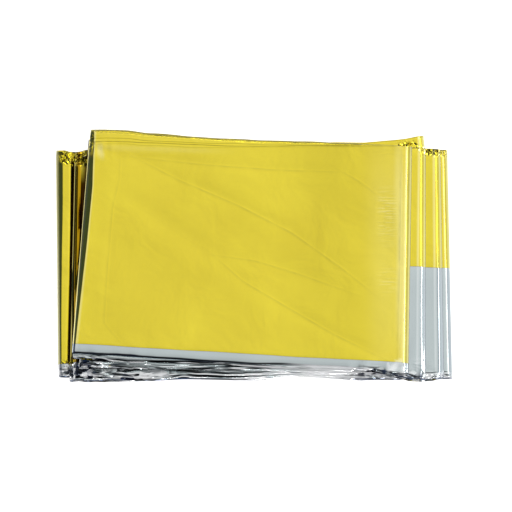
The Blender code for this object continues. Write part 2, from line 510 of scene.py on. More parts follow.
# %% The middle of the strip
def strip_middle(up):
    """x, z, pressing and stacking way of the strip's middle, at this share of its height."""
    # The wider the slope, the tighter the fold is pinched and the smaller its bend.
    width = slope_width(up)
    amount = np.minimum(1.0, width / FULL_SLOPE)
    radius = PANEL_PITCH / 2 * (1 - amount) + PINCH_RADIUS * amount
    outer = radius + STRIP_THICKNESS / 2 * (1 - amount + PINCH_PRESS * amount)

    # A column lies inside the outline by the bend, and by its own share of the slope.
    beyond = width + (PLACE - 1) * (ZONE - outer - width)
    inside = outer * FLATTENED + np.where(PLACE <= 1, width * PLACE, beyond)
    x = np.where(FOLD < 0, NOMINAL_X, OUTLINE_X - SIDE * inside)

    # Down the slope it nears the level between two panels, and its layers are pressed thin.
    profile = np.where(SIDE > 0, np.clip(1 - PLACE, 0, 1) ** 2, np.clip(1 - PLACE, 0, 1))
    near = np.where(FOLD < 0, 0.0, amount * profile)
    level = panel_level(FLAT, x)
    fold_levels = (panel_level(FOLD - 1, OUTLINE_X) + panel_level(FOLD, OUTLINE_X)) / 2
    fold_levels = fold_levels - line_values("droop", FOLD)
    z = level + near * (fold_levels + np.sign(level - fold_levels) * PINCH_RADIUS - level)
    loose = np.where(FLAT == 0, TUCK_PRESS, 1.0)
    press = loose + near * (PINCH_PRESS - loose)

    # A half turn joins the two columns beside it, and its layers turn round with it.
    out_x, out_z = np.zeros(len(COLUMNS)), np.where(PANEL % 2 == 1, 1.0, -1.0)
    for fold in range(1, LOWEST_PANEL + 1):
        turn = np.flatnonzero(BEND & (FOLD == fold))
        before, after = turn[0] - 1, turn[-1] + 1
        front_outside = 1.0 if LINES[fold].side < 0 or fold == 1 else -1.0
        half = abs(z[before] - z[after]) / 2
        angle = ANGLE[turn]
        x[turn] = x[before] + SIDE[turn] * half * np.sin(angle) * FLATTENED[turn]
        z[turn] = (z[before] + z[after]) / 2 + half * np.cos(angle)
        press[turn] = (press[before] + press[after]) / 2
        out_x[turn] = front_outside * SIDE[turn] * np.sin(angle) * FLATTENED[turn]
        out_z[turn] = front_outside * np.cos(angle)
    return x, z, press, out_x, out_z


middle_x, middle_z = strip_middle(np.full(len(COLUMNS), 0.5))[:2]
TRAVEL = np.concatenate([[0.0], np.cumsum(np.hypot(np.diff(middle_x), np.diff(middle_z)))])
print("Strip length round the folds:", round(float(TRAVEL[-1]), 3), "m")

# %% [markdown]
# ## Every layer's points
#
# Each row follows the strip's middle at its own height, on its own side of it.

# %% Every layer's points
def along_panel(x):
    """The share of the way from the line where a column's panel starts to where it ends."""
    first, last = line_values("x", FLAT), line_values("x", FLAT + 1)
    return np.where(BEND, 0.0, np.clip((x - first) / (last - first), 0, 1))


def between_lines(name, share):
    """A value of the folds' table, blended along each column's panel."""
    first = line_values(name, np.where(BEND, FOLD, FLAT))
    return first + share * (line_values(name, np.where(BEND, FOLD, FLAT + 1)) - first)


def folded_points():
    """The whole grid of points, one for each row and column."""
    points = np.zeros((len(ROWS), len(COLUMNS), 3))
    share = along_panel(middle_x)
    lean = np.radians(between_lines("lean", share))
    middle_y = between_lines("y", share) + 4 * share * (1 - share) * line_values("bow", FLAT)
    fan, band = between_lines("fan", share), between_lines("band", share)
    top_moved = swing(TOP_SWINGS, middle_x, PANEL)
    foot_moved = swing(FOOT_SWINGS, middle_x, PANEL)
    for number, row in enumerate(ROWS):
        top = layer_top(row.layer, fan, TRAVEL, top_moved)
        foot = layer_foot(row.layer, band, TRAVEL, foot_moved)
        across = foot + row.up * (top - foot) + row.offset
        x, z, press, out_x, out_z = strip_middle(across / STRIP_HEIGHT + 0.5)
        out = row.level * press * STRIP_THICKNESS
        points[number, :, 0] = x + across * np.sin(lean) + out * out_x
        points[number, :, 1] = middle_y + across * np.cos(lean)
        points[number, :, 2] = z + out * out_z
    return points


POINTS = folded_points()
print("Raw box:", POINTS.reshape(-1, 3).min(0).round(4), POINTS.reshape(-1, 3).max(0).round(4))

# %% [markdown]
# ## Creases
#
# Film keeps every bend it has had. A crease is a line of places with a depth and a width, and
# it presses a soft trough into the whole stack. Sharp is the depth, in millimetres, of the fine
# line that the finish adds in the trough's middle, as relief and as painted shade. A trough fades
# out at both ends.

# %% Creases
Crease = namedtuple("Crease", "depth width sharp places")
CREASES = (
    Crease(0.00006, 0.0018, 0.024, ((-0.046, 0.036), (-0.019, 0.033), (0.008, 0.031),
                                    (0.034, 0.030))),
    Crease(0.00010, 0.0017, 0.028, ((-0.046, 0.036), (-0.029, 0.027), (-0.006, 0.017),
                                    (0.015, 0.006), (0.034, -0.008), (0.045, -0.017))),
    Crease(0.00018, 0.0034, 0.004, ((-0.052, 0.021), (-0.040, 0.014), (-0.023, 0.002),
                                    (-0.013, -0.003))),
    Crease(0.00010, 0.0018, 0.024, ((-0.013, -0.003), (0.001, -0.005), (0.017, -0.010),
                                    (0.036, -0.017))),
    Crease(0.00010, 0.0018, 0.026, ((-0.014, -0.004), (-0.004, -0.013), (0.011, -0.022),
                                    (0.031, -0.034), (0.049, -0.043))),
    Crease(0.00004, 0.0014, 0.016, ((-0.0515, 0.0370), (-0.0518, 0.0270), (-0.0543, 0.0165),
                                    (-0.0562, -0.0076), (-0.0574, -0.0293), (-0.0504, -0.0376))),
    Crease(0.00005, 0.0010, 0.035, ((0.0572, 0.0385), (0.0568, 0.020), (0.0562, -0.010),
                                    (0.0552, -0.044))),
    Crease(0.00002, 0.0010, 0.016, ((0.0480, 0.0365), (0.0525, 0.0372), (0.0556, 0.0368))),
    Crease(0.00003, 0.0014, 0.018, ((0.0334, 0.0308), (0.0410, 0.0262), (0.0477, 0.0209))),
)


def away_from_line(x, y, places):
    """Distance from a line of places, and the share of the way along it."""
    nearest = np.full(x.shape, 1.0)
    along = np.zeros(x.shape)
    pairs = list(zip(places[:-1], places[1:]))
    for number, (start, end) in enumerate(pairs):
        run_x, run_y = end[0] - start[0], end[1] - start[1]
        share = ((x - start[0]) * run_x + (y - start[1]) * run_y) / (run_x**2 + run_y**2)
        share = np.clip(share, 0, 1)
        away = np.hypot(x - start[0] - share * run_x, y - start[1] - share * run_y)
        along = np.where(away < nearest, (number + share) / len(pairs), along)
        nearest = np.minimum(away, nearest)
    return nearest, along


def crease_height(x, y):
    """How far all the creases move a place up. It is below zero, as they are troughs."""
    total = np.zeros(x.shape)
    for crease in CREASES:
        away, along = away_from_line(x, y, crease.places)
        ends = np.sin(np.pi * np.clip(0.06 + 0.9 * along, 0, 1)) ** 0.5
        total -= crease.depth * ends * np.exp(-((away / crease.width) ** 2))
    return total


print(len(CREASES), "creases")

# %% [markdown]
# ## Crumples
#
# A crumple is a patch where the film is thrown into small flat facets, as at the corners where
# many layers turn at once. A few triangle waves that cross each other give just such facets.

# %% Crumples
Crumple = namedtuple("Crumple", "x y reach_x reach_y height size turn")
CRUMPLES = (
    Crumple(-0.0690, 0.0395, 0.0095, 0.0028, 0.00060, 0.0034, 10),
    Crumple(-0.0600, -0.0475, 0.0200, 0.0042, 0.00070, 0.0044, 35),
    Crumple(-0.0200, -0.0490, 0.0340, 0.0030, 0.00030, 0.0120, 60),
    Crumple(0.0440, -0.0485, 0.0080, 0.0026, 0.00070, 0.0044, 20),
    Crumple(0.0640, -0.0485, 0.0110, 0.0026, 0.00070, 0.0040, 70),
    Crumple(0.0640, 0.0420, 0.0130, 0.0026, 0.00035, 0.0036, 50),
)


def facets(x, y, size, turn):
    """Flat facets between -1 and 1, from triangle waves that cross each other."""
    total = np.zeros(x.shape)
    for number in range(5):
        angle = radians(turn + 73 * number)
        length = size * (1.0 + 0.37 * number)
        across = x * np.sin(angle) - y * np.cos(angle)
        along = x * np.cos(angle) + y * np.sin(angle)
        bend = 0.9 * np.sin(across / (0.8 * length) + 1.3 * number)
        wave = np.sin(2 * np.pi * along / length + bend + number)
        total += np.arcsin(wave) * 2 / np.pi
    return total / 2.6


def crumple_moves(x, y):
    """How far the crumpled patches move a place up, and how far sideways."""
    up, aside = np.zeros(x.shape), np.zeros(x.shape)
    for patch in CRUMPLES:
        away = ((x - patch.x) / patch.reach_x) ** 2 + ((y - patch.y) / patch.reach_y) ** 2
        fade = np.exp(-away)
        up += patch.height * fade * facets(x, y, patch.size, patch.turn)
        aside += 0.7 * patch.height * fade * facets(y, x, 1.3 * patch.size, patch.turn + 25)
    return up, aside


print(len(CRUMPLES), "crumpled patches")

# %% [markdown]
# ## A dent beside the highest left fold
#
# The panels under the top one are pressed in at the left, so a deep narrow groove lies beside
# the top panel's fold. It has a short slope, a flat bed and a shelf that dips towards the fold.
# What lies higher than the groove's top, such as the top panel, is left as it is.

# %% A dent beside the highest left fold
RECESS_SLOPE = (-0.0712, -0.0700)
RECESS_SHELF = (-0.0691, -0.0667)
RECESS_DEPTH = 0.00068
SHELF_SLOPE = 0.26
RECESS_TOP = 0.00885
RECESS_SHORT_OF_FOLD = 0.0006
RECESS_BACK = 0.0012
RECESS_FULL_AT = 0.0030


def recess(x, y, z):
    """How far the stack is dented at its left, beside the highest left fold."""
    top_fold = LINES[2]
    outline = top_fold.x + (y - top_fold.y) * np.sin(np.radians(top_fold.lean))
    bottom = np.minimum(outline - RECESS_SHORT_OF_FOLD, RECESS_SHELF[1])
    slope = np.clip((x - RECESS_SLOPE[0]) / (RECESS_SLOPE[1] - RECESS_SLOPE[0]), 0, 1)
    shelf = np.clip(np.minimum(x, bottom) - RECESS_SHELF[0], 0, 1)
    back = np.clip((np.maximum(bottom, RECESS_SHELF[0]) + RECESS_BACK - x) / RECESS_BACK, 0, 1)
    depth = (RECESS_DEPTH * slope + SHELF_SLOPE * shelf) * back
    return np.where(z < RECESS_TOP, depth * np.minimum(1, z / RECESS_FULL_AT), 0.0)


print("The dent is", RECESS_DEPTH * 1000, "mm deep")

# %% [markdown]
# ## The stack settles
#
# The stack is springy: its middle lies lower than its rim, and it swells a little here and
# there. All layers move together, and less towards the bottom, so no layer goes through another
# and the lowest stays flat on the floor. The crumples are calmer in the hidden layers, and those
# are dented a little further, so that they stay below the front film. The whole is then centred
# on the solid model's box.

# %% The stack settles
STACK_TOP = 0.0165
HALF_LENGTH = 0.075
HALF_WIDTH = 0.050
HOLLOW_DEPTH = 0.0005
SWELL_HEIGHT = 0.0001
CALM_NEAR_FLOOR = 0.002
CALM_INSIDE = 0.3
DENT_INSIDE = 1.4
ALONG_STRIP = 0.6


def settled(points):
    """The points after the stack is pressed, creased, crumpled and dented."""
    x, y, z = points[..., 0], points[..., 1], points[..., 2]
    depth = z / STACK_TOP
    hollow = np.clip(1 - (x / HALF_LENGTH) ** 2, 0, 1) * np.clip(1 - (y / HALF_WIDTH) ** 2, 0, 1)
    swell = np.sin(x / 0.011 + 2 * np.sin(y / 0.017)) * np.sin(y / 0.013 + x / 0.031)
    up, aside = crumple_moves(x, y)
    calm = [CALM_INSIDE if 2 < row.layer < LAYERS - 3 else 1.0 for row in ROWS]
    free = np.array(calm)[:, None] * z / (z + CALM_NEAR_FLOOR)
    moved = points.copy()
    moved[..., 0] = x + np.where(BEND | (PLACE < 0.6), 0.0, ALONG_STRIP) * aside * free
    moved[..., 1] = y + aside * free
    dented = [1.0 if row.layer in (0, 1, LAYERS - 1) else DENT_INSIDE for row in ROWS]
    moved[..., 2] = z - recess(x, y, z) * np.array(dented)[:, None]
    moved[..., 2] += depth * (crease_height(x, y) - HOLLOW_DEPTH * hollow + SWELL_HEIGHT * swell)
    moved[..., 2] += up * free
    return moved


PLACES = settled(POINTS)
cad_low, cad_high = (Vector(corner) for corner in cad_box)
shown = PLACES.reshape(-1, 3)
off_centre = (cad_low + cad_high) / 2 - Vector((shown.max(0) + shown.min(0)) / 2)
SHIFT = np.array([off_centre.x, off_centre.y, 0.0])
PLACES = PLACES + SHIFT
print("Shifted by", (SHIFT * 1000).round(2), "mm")
print("Lowest point at", round(float(PLACES[..., 2].min()) * 1000, 3), "mm")

# %% [markdown]
# ## The sheet
#
# A grid primitive gives the mesh, its rows and columns and its UV map in one go. Its points are
# then put where the folding says. The UV map is set to the distances along the flat sheet, so
# one unit is one metre of film and a pattern follows the film round its folds.

# %% The sheet's mesh
bpy.ops.mesh.primitive_grid_add(
    x_subdivisions=len(COLUMNS) - 1, y_subdivisions=len(ROWS) - 1, size=1, calc_uvs=True
)
film = bpy.context.object
film.name = "film_sheet"
film.data.name = "film_sheet"
film.data.vertices.foreach_set("co", PLACES.astype(np.float32).ravel())

row_steps = np.abs(np.diff(POINTS[:, len(COLUMNS) // 3, 1]))
ROW_TRAVEL = np.concatenate([[0.0], np.cumsum(row_steps)])
flat_u = TRAVEL * SHEET_LENGTH / TRAVEL[-1]
flat_v = ROW_TRAVEL * SHEET_WIDTH / ROW_TRAVEL[-1]
flat = np.stack(np.meshgrid(flat_u, flat_v), axis=-1).reshape(-1, 2)
corners = np.zeros(len(film.data.loops), np.int32)
film.data.loops.foreach_get("vertex_index", corners)
uv_map = film.data.uv_layers.active
uv_map.name = "flat_sheet"
uv_map.uv.foreach_set("vector", flat[corners].astype(np.float32).ravel())
print("Sheet:", len(film.data.vertices), "vertices,", len(film.data.polygons), "faces")

# %% [markdown]
# ## Sharp and round folds
#
# Smoothing by angle leaves every fold as a hard line, which is right where the film is pressed.
# The upper folds deep in the strip are round instead, and mirror the room like a row of thin
# rods, so their edges are made smooth again.

# %% Sharp and round folds
FIRST_ROUND_LAYER = 9
bpy.ops.object.shade_smooth_by_angle(angle=radians(38))
edge_ends = np.zeros(2 * len(film.data.edges), np.int32)
film.data.edges.foreach_get("vertices", edge_ends)
edge_rows = edge_ends.reshape(-1, 2) // len(COLUMNS)
round_rows = [
    number
    for number, row in enumerate(ROWS)
    if row.up == 1 and row.offset == 0 and FIRST_ROUND_LAYER <= row.layer < LAYERS - 1
]
round_edges = (edge_rows[:, 0] == edge_rows[:, 1]) & np.isin(edge_rows[:, 0], round_rows)
sharp = film.data.attributes["sharp_edge"]
is_sharp = np.zeros(len(film.data.edges), bool)
sharp.data.foreach_get("value", is_sharp)
sharp.data.foreach_set("value", is_sharp & ~round_edges)
made_round = is_sharp & round_edges
print(int(is_sharp.sum()), "sharp edges,", int(made_round.sum()), "of them made round")

# %% [markdown]
# ## Gold side and silver side
#
# Which metal shows depends on the side of the film that faces out. Counting round the folds,
# the front film, the back film and all the upper folds show gold, and all the lower folds show
# silver. So does the band below the front film, and what lies below the back film's end. Each
# face of the mesh gets the finish of the side that can be seen.

# %% Which faces show silver
def silver_row(number):
    """Whether the faces between this row and the next one show their silver side."""
    row, following = ROWS[number], ROWS[number + 1]
    if row.layer != following.layer:
        return row.up < 0.5 and following.up < 0.5
    if row.layer in (0, LAYERS - 1):
        return False
    return min(row.up, following.up) < 0.5


silver_rows = np.array([silver_row(number) for number in range(len(ROWS) - 1)])
face_slots = np.repeat(silver_rows.astype(np.int32), len(COLUMNS) - 1)
film.data.polygons.foreach_set("material_index", face_slots)
print(int(silver_rows.sum()), "of", len(silver_rows), "rows of faces show silver")

# %% [markdown]
# ## Crumpled patches for the finishes
#
# The mesh can't hold the finest marks, so a few attributes tell the finishes where they are.
# The first says how crumpled each place is. A patch covers only what lies between its lowest
# and highest heights, so that a patch on the panels below leaves the top panel smooth.

# %% Crumpled patches for the finishes
flat_x, flat_y, flat_z = POINTS[..., 0], POINTS[..., 1], POINTS[..., 2]
EVERYWHERE = np.ones(flat_x.shape)
TOP_PANEL_Z = 0.0135


def add_attribute(name, values, kind="FLOAT", field="value"):
    """Gives every point of the film a number or a vector that its finishes can read."""
    attribute = film.data.attributes.new(name, kind, "POINT")
    attribute.data.foreach_set(field, values.astype(np.float32).ravel())


def row_values(rule):
    """A column of numbers, one for each row of the mesh."""
    return np.array([rule(row) for row in ROWS])[:, None]


Mottle = namedtuple("Mottle", "x y reach_x reach_y lowest highest strength")
MOTTLES = (
    Mottle(-0.0626, 0.0425, 0.0008, 0.0030, 0.0135, 0.0200, 0.45),
    Mottle(-0.0735, 0.0385, 0.0022, 0.0022, 0.0, 0.0135, 0.8),
    Mottle(-0.0672, 0.0375, 0.0034, 0.0028, 0.0, 0.0135, 1.0),
    Mottle(0.0600, 0.0425, 0.0040, 0.0014, 0.0, 0.0150, 0.7),
    Mottle(0.0705, 0.0405, 0.0060, 0.0022, 0.0, 0.0135, 0.9),
    Mottle(-0.0660, -0.0465, 0.0085, 0.0040, 0.0, 0.0150, 0.9),
    Mottle(-0.0450, -0.0500, 0.0140, 0.0020, 0.0, 0.0120, 0.5),
    Mottle(0.0430, -0.0490, 0.0060, 0.0016, 0.0, 0.0160, 1.0),
    Mottle(0.0560, -0.0505, 0.0070, 0.0020, 0.0, 0.0160, 0.9),
    Mottle(0.0680, -0.0500, 0.0080, 0.0020, 0.0, 0.0150, 0.9),
)
mottled = 0 * EVERYWHERE
for patch in MOTTLES:
    away = ((flat_x - patch.x) / patch.reach_x) ** 4 + ((flat_y - patch.y) / patch.reach_y) ** 4
    here = (flat_z > patch.lowest) & (flat_z < patch.highest)
    mottled = np.maximum(mottled, np.where(here, patch.strength * np.exp(-away), 0.0))
add_attribute("crumple", mottled)
print("Crumpled share of the points:", round(float((mottled > 0.1).mean()), 3))

# %% [markdown]
# ## Where the lower folds are streaked
#
# The lower folds lie in a stack of thin noses that mirror the room in long streaks. This
# attribute fades out a few millimetres above each fold. The second and third panels show only
# the very tips of their noses at the left, so the streaks stop sooner there.

# %% Where the lower folds are streaked
NOSE_REACH = 0.0012
STREAK_REACH = 0.0042
STREAK_FADE = 0.0010
SHORT_REACH = 0.0009
SHORT_FADE = 0.0004
SHORT_UP_TO_X = -0.02
LOWER_PANELS_Z = 0.0138
STREAKS_END_X = 0.050

from_foot = row_values(
    lambda row: row.offset if row.up == 0 and 0 < row.layer < LAYERS - 1 else 1.0
)
nose = np.exp(-((from_foot / NOSE_REACH) ** 2)) * EVERYWHERE
near_foot = np.clip((STREAK_REACH - from_foot) / STREAK_FADE, 0, 1)
short = np.clip((SHORT_REACH - from_foot) / SHORT_FADE, 0, 1)
second_or_third = (PANEL > 1.6) & (PANEL < 3.6)
near_foot = np.where(second_or_third & (flat_x < SHORT_UP_TO_X), short, near_foot)
lower = np.where(flat_x < STREAKS_END_X, near_foot, 0.0)
streaked = np.where(flat_z < LOWER_PANELS_Z, np.maximum(nose, lower), 0.0)
add_attribute("streak", streaked)
print("Streaked share of the points:", round(float((streaked > 0.1).mean()), 3))

# %% [markdown]
# ## Painted highlights and distances from the folds
#
# Along the lower folds at the right, and on the rim of the lowest left fold, the metal is dulled
# to a pale bloom: a painted highlight. Two more attributes hold distances in millimetres from the
# upper and lower folds. A distance runs evenly between the mesh's points, so a line that a finish
# draws from it is sharper than the mesh. The last one keeps the steps of the lower folds off the
# two highest panels.

# %% Scuffed places and distances from the folds
FOOT_HIGHLIGHT_X = (0.010, 0.022, 0.038, 0.046)
FOOT_HIGHLIGHT_SHARES = (0.0, 0.9, 0.9, 0.0)
FOOT_HIGHLIGHT_REACH = 0.0050
TOP_FOOT_HIGHLIGHT_REACH = 0.0008
HIGHLIT_RIM_FOLD = 10
RIM_HIGHLIGHT = 1.2
FAR_FROM_TOP = 5.0
FAR_FROM_FOOT = 60.0

# Painted highlights along the lower folds at the right and on the lowest left fold's rim.
reach = np.where(PANEL < 1.6, TOP_FOOT_HIGHLIGHT_REACH, FOOT_HIGHLIGHT_REACH)
foot_highlight = np.where(from_foot < reach, np.interp(flat_x, FOOT_HIGHLIGHT_X, FOOT_HIGHLIGHT_SHARES), 0.0)
rim_highlight = np.where((FOLD == HIGHLIT_RIM_FOLD) & (BEND | (PLACE == 0)), RIM_HIGHLIGHT, 0.0)
add_attribute("bright", np.maximum(foot_highlight, rim_highlight))

from_top = row_values(lambda row: -1000 * row.offset if row.up == 1 else FAR_FROM_TOP)
shown_foot = row_values(lambda row: row.up == 0 and row.layer in (1, LAYERS - 2))
in_steps = np.where(shown_foot, 1000 * from_foot, FAR_FROM_FOOT)
add_attribute("from_top", from_top * EVERYWHERE)
add_attribute("from_foot", in_steps * EVERYWHERE)
add_attribute("stepped", np.where(PANEL > 2.4, 1.0, 0.0) * EVERYWHERE)
print("Attributes so far:", len(film.data.attributes))

# %% [markdown]
# ## Pale patches and pale ridges
#
# The top panel has a few hazy patches of painted highlight. The rims of the right folds and of
# two left folds have a pale line of painted highlight. So have the tops of the slopes beside the
# right folds and beside the highest left one.

# %% Pale patches and pale ridges
Pale = namedtuple("Pale", "x y reach_x reach_y turn strength")
HIGHLIGHT_PATCHES = (
    Pale(0.0567, -0.0040, 0.0018, 0.0460, 0.5, 0.38),
    Pale(0.0530, -0.0040, 0.0085, 0.0460, 0.5, 0.10),
    Pale(-0.0592, 0.0385, 0.0011, 0.0030, 8, 0.42),
    Pale(-0.0380, 0.0392, 0.0250, 0.0011, -2, 0.11),
    Pale(0.0537, -0.0468, 0.0042, 0.0012, 38, 1.6),
)
RIM_PALE_HIGHLIGHT = 0.6
LOW_RIM_PALE_HIGHLIGHT = 1.0
RISE_PALE_HIGHLIGHT = 0.5

# Painted highlights: hazy patches on the top panel, then pale lines on the folds' rims and ridges.
pale = 0 * EVERYWHERE
for patch in HIGHLIGHT_PATCHES:
    turn = radians(patch.turn)
    along = (flat_x - patch.x) * np.cos(turn) + (flat_y - patch.y) * np.sin(turn)
    across = (flat_y - patch.y) * np.cos(turn) - (flat_x - patch.x) * np.sin(turn)
    away = (along / patch.reach_x) ** 4 + (across / patch.reach_y) ** 4
    pale = np.maximum(pale, np.where(flat_z > TOP_PANEL_Z, patch.strength * np.exp(-away), 0.0))

on_rim = BEND | (PLACE == 0)
at_fold = np.where(on_rim & ((SIDE > 0) | (FOLD == 2)), RIM_PALE_HIGHLIGHT, 0.0)
at_fold = np.where(on_rim & (FOLD == HIGHLIT_RIM_FOLD), LOW_RIM_PALE_HIGHLIGHT, at_fold)
brightest = np.where(np.isin(FOLD, (3, 5)), 1.0, 0.75)
at_rise = np.where((SIDE > 0) & (PLACE == brightest), RISE_PALE_HIGHLIGHT, 0.0)
at_ridge = np.where((FOLD == 2) & (PLACE == 1.12), RISE_PALE_HIGHLIGHT, 0.0)
ridges = np.maximum(np.maximum(at_fold, at_rise), at_ridge)
add_attribute("pale", np.maximum(pale, ridges * EVERYWHERE))
print(len(HIGHLIGHT_PATCHES), "pale patches and", int((ridges > 0).sum()), "columns with a pale ridge")

# %% [markdown]
# ## Shaded folds
#
# Deep in a fold the film mirrors only other film, so it is dark. The shade lies on the highest
# right folds' round bends, in two grooves beside them, along some stretches of the lower folds
# and on the hidden rim behind the top panel.

# %% Shaded folds
BEND_SHADE = 0.85
GROOVE_SHADES = {3: 0.20, 5: 0.55}
GROOVE_FADE_Y = (-0.004, -0.002)
TIP_SHADE = 0.95
TIP_REACH = 0.0005
TOP_TIP_FADE_X = (-0.015, 0.015)
LOW_TIP_SHARE = 0.9
LOW_TIP_FADE_X = (-0.02, 0.0)
LOW_TIP_AGAIN_X = (0.040, 0.056)
BACK_LAYERS = (LAYERS - 3, LAYERS - 2)
BACK_TIP_SHADE = 0.9
BACK_TIP_REACH = 0.0004
BACK_TIP_FROM_X = 0.052
RIM_SHADE = 0.6
RIM_FROM_LAYER = 9
RIM_FROM_Z = 0.0120

turned_away = (ANGLE > 0.25 * np.pi) & (ANGLE < 0.85 * np.pi)
shade = np.where(BEND & np.isin(FOLD, (1, 3, 5)) & turned_away, BEND_SHADE, 0.0)
for fold, amount in GROOVE_SHADES.items():
    groove = np.where((FOLD == fold) & (PLACE == 0.5), amount, 0.0)
    shade = np.maximum(shade, groove * np.interp(flat_y, GROOVE_FADE_Y, (1.0, 0.0)))


def front_tip(row):
    """The shade of a row near the lower folds at the front."""
    near = row.up == 0 and row.offset < TIP_REACH
    return TIP_SHADE if near and row.layer in (1, 2) else 0.0


def back_tip(row):
    """The shade of a row near the lower folds at the back."""
    near = row.up == 0 and row.offset < BACK_TIP_REACH
    return BACK_TIP_SHADE if near and row.layer in BACK_LAYERS else 0.0


def rim(row):
    """The shade of a row on the hidden upper folds."""
    on_fold = row.up == 1 and row.offset == 0
    return RIM_SHADE if on_fold and row.layer >= RIM_FROM_LAYER else 0.0


top_tip = np.where(PANEL < 1.6, np.interp(flat_x, TOP_TIP_FADE_X, (1.0, 0.0)), 0.0)
low_tip = np.interp(flat_x, LOW_TIP_FADE_X, (1.0, 0.0))
low_tip = LOW_TIP_SHARE * np.where(flat_x > LOW_TIP_AGAIN_X[0], 1.0, low_tip)
low_tip = np.where((PANEL > 4.5) & (flat_x < LOW_TIP_AGAIN_X[1]), low_tip, 0.0)
shade = np.maximum(shade, row_values(front_tip) * np.maximum(top_tip, low_tip))
shade = np.maximum(shade, row_values(back_tip) * np.where(flat_x > BACK_TIP_FROM_X, 1.0, 0.0))
behind_top = (PANEL < 2.6) & (flat_z > RIM_FROM_Z)
add_attribute("shade", np.maximum(shade, row_values(rim) * np.where(behind_top, 1.0, 0.0)))
print("Shaded share of the points:", round(float((shade > 0.1).mean()), 3))

# %% [markdown]
# ## Where the dent's painted reflections lie
#
# In the groove at the left the film mirrors itself over and over, which turns gold to amber and
# brown; these reflections and the groove's shade are painted into the colour. One attribute says
# where the groove is and another how far across it a place lies. A thin streak at its upper end
# stays gold.

# %% The dent's tones
GROOVE_LEFT = -0.0719
GROOVE_WIDTH = 0.0062
GROOVE_LEAN = radians(0.9)
GROOVE_SHARES = (0.03, 1.6)
GOLD_STREAK_X = -0.0661
GOLD_STREAK_WIDTH = 0.0006
GOLD_STREAK_FROM_Y = 0.027
GOLD_STREAK_FADE = 0.006

recess_x = (flat_x - flat_y * np.sin(GROOVE_LEAN) - GROOVE_LEFT) / GROOVE_WIDTH
across_groove = (recess_x > GROOVE_SHARES[0]) & (recess_x < GROOVE_SHARES[1])
in_groove = (PANEL > 2.9) & (flat_z < TOP_PANEL_Z) & across_groove
gold_streak = np.exp(-(((flat_x - GOLD_STREAK_X) / GOLD_STREAK_WIDTH) ** 2))
gold_streak = gold_streak * np.clip((flat_y - GOLD_STREAK_FROM_Y) / GOLD_STREAK_FADE, 0, 1)
add_attribute("recessed", np.where(in_groove, 1.0 - gold_streak, 0.0))
add_attribute("recess_x", recess_x)
print("Points in the groove:", int(in_groove.sum()))

# %% [markdown]
# ## Fine crease lines and stretch marks
#
# Each crease gets an attribute with its distance in millimetres and its depth. The distance is
# below zero on one side, so between the mesh's points it still passes through zero just where
# the crease lies. Near the right end the film is stretched in short crinkles, across two patches
# of the top panel.

# %% Fine crease lines and stretch marks
LINE_REACH = 0.004


def signed_distance(x, y, places):
    """Distance from a line of places, below zero on its right, and the line's strength."""
    nearest, along = away_from_line(x, y, places)
    signed = np.full(x.shape, 1.0)
    least = np.full(x.shape, 9.0)
    for start, end in zip(places[:-1], places[1:]):
        run_x, run_y = end[0] - start[0], end[1] - start[1]
        run = np.hypot(run_x, run_y)
        share = ((x - start[0]) * run_x + (y - start[1]) * run_y) / run**2
        beyond = np.abs(share - np.clip(share, 0, 1))
        across = ((y - start[1]) * run_x - (x - start[0]) * run_y) / run
        closer = np.abs(across) + beyond < least
        signed = np.where(closer, across, signed)
        least = np.where(closer, np.abs(across) + beyond, least)
    fade = np.sin(np.pi * np.clip(0.02 + 0.96 * along, 0, 1)) ** 0.5
    fade = fade * np.clip(2 - nearest / LINE_REACH, 0, 1)
    uneven = 0.65 + 0.35 * np.sin(23 * along + 40 * places[0][0]) * np.sin(61 * along)
    return signed, fade * uneven


for number, crease in enumerate(CREASES):
    signed, depth = signed_distance(flat_x, flat_y, crease.places)
    depth = np.where(flat_z > TOP_PANEL_Z, depth * crease.sharp, 0.0)
    vectors = np.stack([signed * 1000, depth, 0 * depth], axis=-1)
    add_attribute(f"crease_{number}", vectors, "FLOAT_VECTOR", "vector")

Stretch = namedtuple("Stretch", "x y reach_x reach_y strength")
STRETCHES = (
    Stretch(0.0515, 0.0125, 0.0034, 0.0100, 1.0),
    Stretch(0.0515, -0.0125, 0.0034, 0.0050, 0.7),
)
stretch = 0 * EVERYWHERE
for patch in STRETCHES:
    away = ((flat_x - patch.x) / patch.reach_x) ** 4 + ((flat_y - patch.y) / patch.reach_y) ** 4
    stretch += patch.strength * np.exp(-away)
add_attribute("stretch", np.where(flat_z > TOP_PANEL_Z, stretch, 0.0))
print("The film has", len(film.data.attributes), "attributes")

# %% [markdown]
# ## A small kit for finishes
#
# A finish is a net of nodes, and adding each node by hand takes five lines. This class holds
# one material and adds the usual kinds of node in one line each. Every call gives back an
# output, so calls can be put inside each other like sums.

